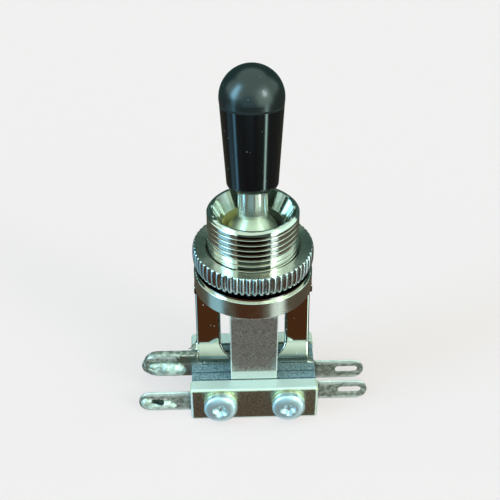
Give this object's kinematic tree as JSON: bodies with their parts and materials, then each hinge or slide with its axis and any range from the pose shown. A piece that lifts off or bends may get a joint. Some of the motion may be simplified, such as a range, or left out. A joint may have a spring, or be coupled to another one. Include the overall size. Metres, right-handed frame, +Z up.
{
  "type": "toggle selector switch",
  "caption": "Panel-mount toggle selector switch with a black tip, threaded bushing, knurled ring nut, sheet frame and a clamped stack of leaf contacts with solder lugs.",
  "frame": {"origin": "on the surface the leaf stack stands on, under the bushing axis", "axes": "+Z up along the bushing, +X towards the two plain lugs, +Y away from the screw heads; the lever rocks along Y"},
  "size_m": [0.0324, 0.0161, 0.0493],
  "materials": {
    "knob_black": "glossy moulded black plastic",
    "lever_chrome": "polished nickel or chrome plate on turned steel",
    "nylon_white": "natural nylon",
    "bushing_nickel": "bright nickel plate on turned brass, with fine turning marks",
    "nut_nickel": "bright nickel plate, knurled",
    "frame_nickel": "mirror nickel plate on stamped steel sheet",
    "plate_nickel": "nickel plate on stamped steel, softly rounded edges",
    "leaf_tinned": "nickel silver strip, tinned at the lugs",
    "blade_satin": "satin nickel silver spring strip",
    "contact_silver": "fine silver",
    "screw_zinc": "blue-white zinc plate",
    "washer_zinc": "blue-white zinc plate",
    "sleeve_plastic": "black tubing",
    "solder_tin": "dull solder",
    "insulator_fibre": "blue-grey pressed laminate",
    "pin_steel": "ground steel"
  },
  "bodies": {
    "frame": {"bushing": "bushing_nickel", "knurled_nut": "nut_nickel", "frame": "frame_nickel", "pivot_pin": "pin_steel", "front_clamp_plate": "plate_nickel", "rear_clamp_plate": "plate_nickel", "front_fixed_leaf": "leaf_tinned", "rear_fixed_leaf": "leaf_tinned", "front_moving_terminal": "leaf_tinned", "rear_moving_terminal": "leaf_tinned", "fixed_contacts": "contact_silver", "screws": "screw_zinc", "lock_washers": "washer_zinc", "screw_sleeves": "sleeve_plastic", "solder": "solder_tin", "front_inner_insulator": "insulator_fibre", "rear_inner_insulator": "insulator_fibre", "front_outer_insulator": "insulator_fibre", "rear_outer_insulator": "insulator_fibre"},
    "lever": {"lever": "lever_chrome", "knob": "knob_black", "actuator": "nylon_white"},
    "front_blade": {"front_blade": "blade_satin", "front_blade_contact": "contact_silver"},
    "rear_blade": {"rear_blade": "blade_satin", "rear_blade_contact": "contact_silver"}
  },
  "joints": [
    {"name": "lever_tilt", "type": "hinge", "parent": "frame", "child": "lever", "pos_m": [0, 0, 0.0274], "axis": [1, 0, 0], "range_deg": [0, 26]},
    {"name": "front_blade_flex", "type": "hinge", "parent": "frame", "child": "front_blade", "pos_m": [0, -0.00375, 0.00585], "axis": [1, 0, 0], "range_deg": [-8.45, 0]},
    {"name": "rear_blade_flex", "type": "hinge", "parent": "frame", "child": "rear_blade", "pos_m": [0, 0.00375, 0.00585], "axis": [1, 0, 0], "range_deg": [-8.45, 0]}
  ],
  "couplings": [
    {"joint": "front_blade_flex", "follows": "lever_tilt", "ratio": -0.32454},
    {"joint": "rear_blade_flex", "follows": "lever_tilt", "ratio": -0.32454}
  ]
}
